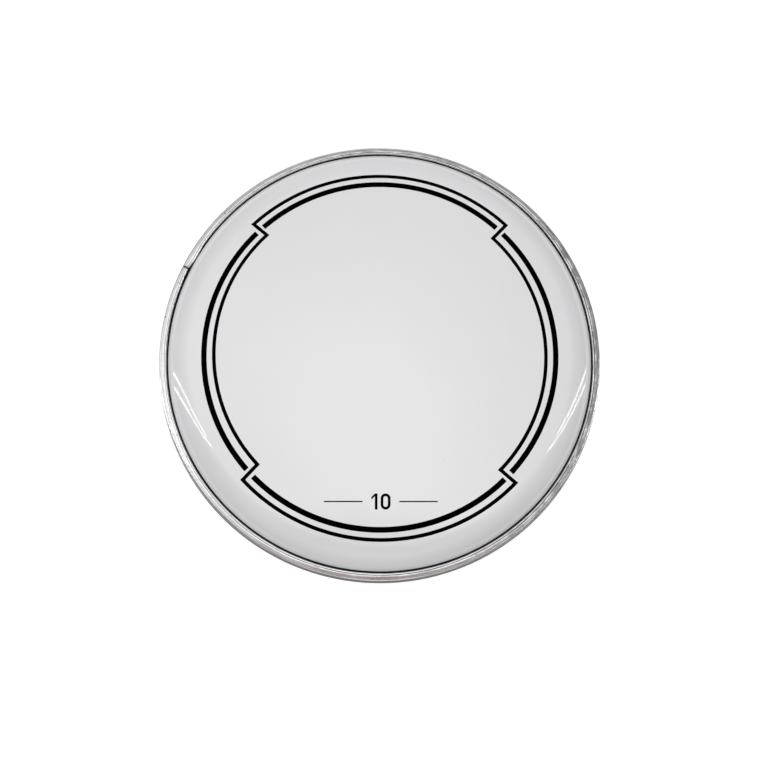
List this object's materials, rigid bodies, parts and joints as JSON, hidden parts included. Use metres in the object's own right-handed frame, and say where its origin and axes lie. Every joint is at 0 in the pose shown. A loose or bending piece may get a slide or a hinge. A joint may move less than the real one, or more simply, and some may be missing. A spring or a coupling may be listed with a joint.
{
  "type": "drum head",
  "caption": "Round white plastic film with a formed collar, its hem cast in resin inside a rolled aluminium channel hoop, that stretches over a drum shell as its playing surface.",
  "frame": {"origin": "centre of the hoop's lower face, on the drum's axis", "axes": "+Z along the drum's axis, from the shell to the playing surface; +Y towards the top of the print"},
  "size_m": [0.2718, 0.2718, 0.0176],
  "materials": {
    "hoop_aluminium": "bare rolled strip, bright, with fine streaks along the hoop",
    "film": "glossy white polyester film",
    "resin": "cast, dark, slightly rough",
    "ink": "screen-printed black, satin"
  },
  "bodies": {
    "root": {"flesh_hoop": "hoop_aluminium", "upper_ply": "film", "lower_ply": "film", "anchor_resin": "resin", "print_bold_arcs": "ink", "print_fine_line": "ink", "print_size_mark": "ink"}
  },
  "joints": []
}
